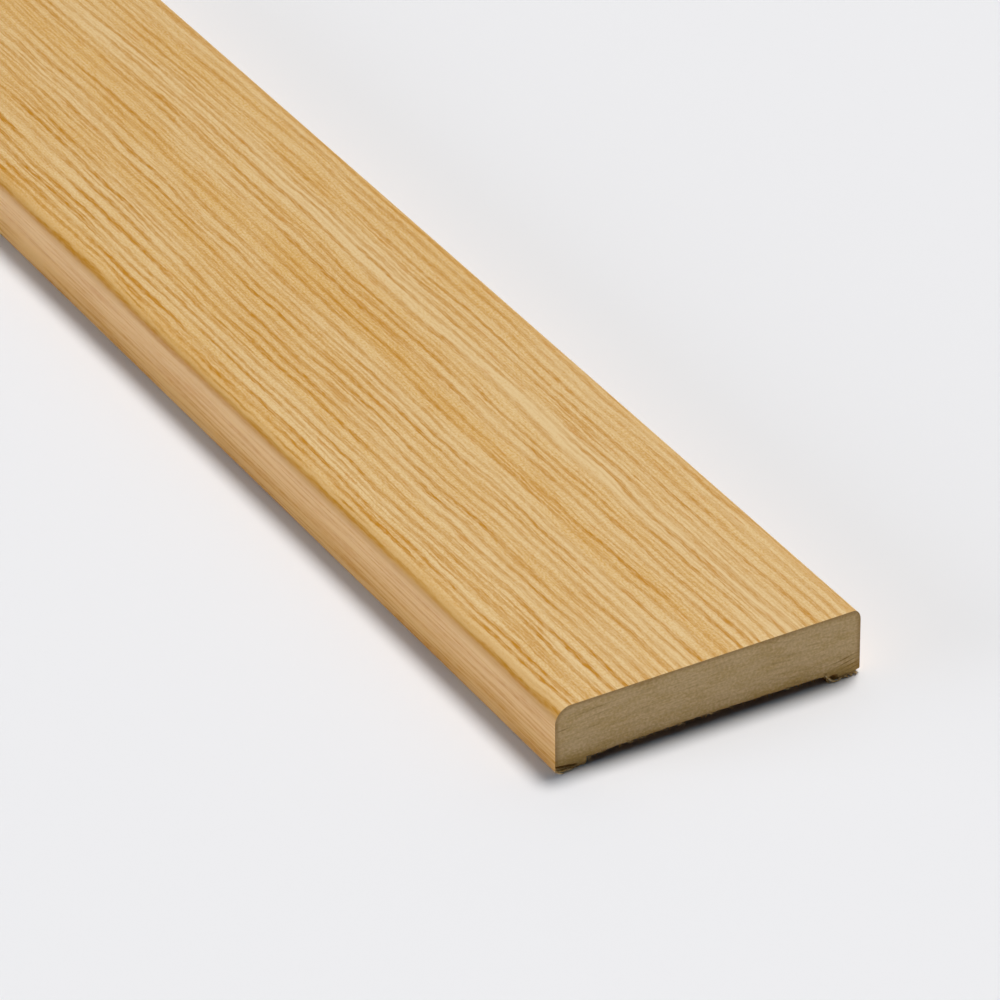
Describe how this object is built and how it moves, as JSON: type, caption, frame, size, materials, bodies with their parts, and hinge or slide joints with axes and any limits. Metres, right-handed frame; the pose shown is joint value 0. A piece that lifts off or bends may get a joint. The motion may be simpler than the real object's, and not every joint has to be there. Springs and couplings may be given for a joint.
{
  "type": "architrave moulding",
  "caption": "Flat door trim: a straight wood strip with one larger and one smaller rounded face edge and a shallow relief along the back, nailed or glued over the joint between a frame and a wall.",
  "frame": {"origin": "middle of the length and of the width, on the plane of the two back legs that it lies on", "axes": "+X along the length, +Y across the width, +Z through the thickness from the back to the face"},
  "size_m": [2.2, 0.056, 0.012],
  "materials": {
    "veneered_softwood": "satin lacquer on the face and sides, sawn ends, planed back"
  },
  "bodies": {
    "root": {"architrave_moulding": "veneered_softwood"}
  },
  "joints": []
}
